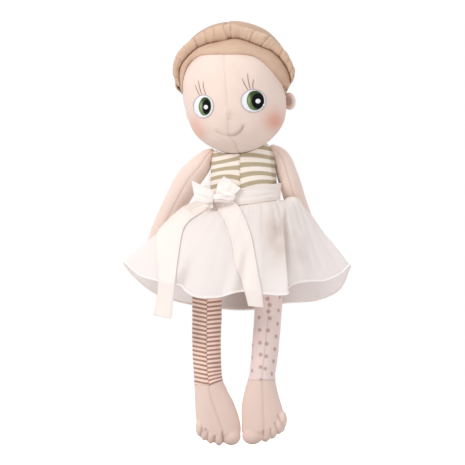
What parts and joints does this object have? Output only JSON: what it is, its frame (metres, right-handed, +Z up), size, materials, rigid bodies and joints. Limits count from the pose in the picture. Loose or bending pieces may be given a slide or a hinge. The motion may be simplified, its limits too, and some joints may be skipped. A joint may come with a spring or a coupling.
{
  "type": "doll",
  "caption": "Soft rag doll in a gauze skirt, sash and striped bodice, with a jointed neck, arms, waist and legs.",
  "frame": {"origin": "middle of the doll's width and depth, at the level of its lowest toe", "axes": "+Z up from toes to crown, -Y is the way the doll faces, +X is on the right seen from the front"},
  "size_m": [0.185, 0.0964, 0.349],
  "materials": {
    "skin_jersey": "matt brushed jersey",
    "hair_jersey": "matt jersey, gathered in front",
    "eye_thread": "satin stitch, slight sheen",
    "stuffing_fibre": "loose polyester fibre",
    "bodice_stripe": "jersey with khaki stripes on off-white",
    "leg_stripe": "jersey with fine reddish-brown stripes on peach",
    "leg_dots": "jersey with small brown dots on pale pink-grey",
    "skirt_gauze": "thin off-white gauze, slightly see-through",
    "sash_cotton": "ivory cotton, woven"
  },
  "bodies": {
    "torso": {"bodice_front_right": "bodice_stripe", "bodice_front_left": "bodice_stripe", "bodice_back": "bodice_stripe", "torso_stuffing": "stuffing_fibre", "sash_band": "sash_cotton", "bow_knot": "sash_cotton", "bow_loop_left": "sash_cotton", "bow_tip": "sash_cotton", "bow_loop_right": "sash_cotton", "sash_tail_left": "sash_cotton", "sash_tail_right": "sash_cotton", "skirt": "skirt_gauze"},
    "neck": {"neck": "skin_jersey"},
    "head": {"face_panel_right": "skin_jersey", "face_panel_left": "skin_jersey", "head_back_panel": "skin_jersey", "head_stuffing": "stuffing_fibre", "hair_band": "hair_jersey", "hair_cap_right": "hair_jersey", "hair_cap_left": "hair_jersey", "hair_roll_left": "hair_jersey", "hair_roll_middle": "hair_jersey", "hair_roll_right": "hair_jersey", "ear_right": "skin_jersey", "ear_left": "skin_jersey", "eye_embroidery_right": "eye_thread", "eye_embroidery_left": "eye_thread"},
    "hips": {"seat_panel_front": "skin_jersey", "seat_panel_back": "skin_jersey", "seat_stuffing": "stuffing_fibre"},
    "arm_left": {"arm_left_outer_skin": "skin_jersey", "arm_left_inner_skin": "skin_jersey", "arm_left_stuffing": "stuffing_fibre"},
    "leg_left": {"leg_left_tube_right_half": "leg_stripe", "leg_left_tube_left_half": "leg_stripe", "foot_left_right_half": "skin_jersey", "foot_left_left_half": "skin_jersey", "leg_left_stuffing": "stuffing_fibre"},
    "arm_right": {"arm_right_outer_skin": "skin_jersey", "arm_right_inner_skin": "skin_jersey", "arm_right_stuffing": "stuffing_fibre"},
    "leg_right": {"leg_right_tube_right_half": "leg_dots", "leg_right_tube_left_half": "leg_dots", "foot_right_right_half": "skin_jersey", "foot_right_left_half": "skin_jersey", "leg_right_stuffing": "stuffing_fibre"}
  },
  "joints": [
    {"name": "neck_nod", "type": "hinge", "parent": "torso", "child": "neck", "pos_m": [0.003, 0.00705, 0.2375], "axis": [1, 0, 0], "range_deg": [-15, 8]},
    {"name": "head_turn", "type": "hinge", "parent": "neck", "child": "head", "pos_m": [0.0032, -0.00195, 0.2424], "axis": [-0.1097, 0, 0.994], "range_deg": [-35, 35]},
    {"name": "shoulder_left", "type": "hinge", "parent": "torso", "child": "arm_left", "pos_m": [-0.0293, 0.00605, 0.2344], "axis": [0, 1, 0], "range_deg": [0, 110]},
    {"name": "shoulder_right", "type": "hinge", "parent": "torso", "child": "arm_right", "pos_m": [0.0407, 0.00605, 0.2344], "axis": [0, -1, 0], "range_deg": [0, 110]},
    {"name": "waist_fold", "type": "hinge", "parent": "torso", "child": "hips", "pos_m": [0.006, 0.00405, 0.1645], "axis": [-1, 0, 0], "range_deg": [-15, 90], "deforming": ["skirt", "sash_tail_left", "sash_tail_right"]},
    {"name": "hip_left", "type": "hinge", "parent": "hips", "child": "leg_left", "pos_m": [-0.0242, 0.00405, 0.1342], "axis": [-1, 0, 0], "range_deg": [-20, 20]},
    {"name": "hip_right", "type": "hinge", "parent": "hips", "child": "leg_right", "pos_m": [0.0266, 0.00405, 0.1342], "axis": [-1, 0, 0], "range_deg": [-20, 20]}
  ]
}
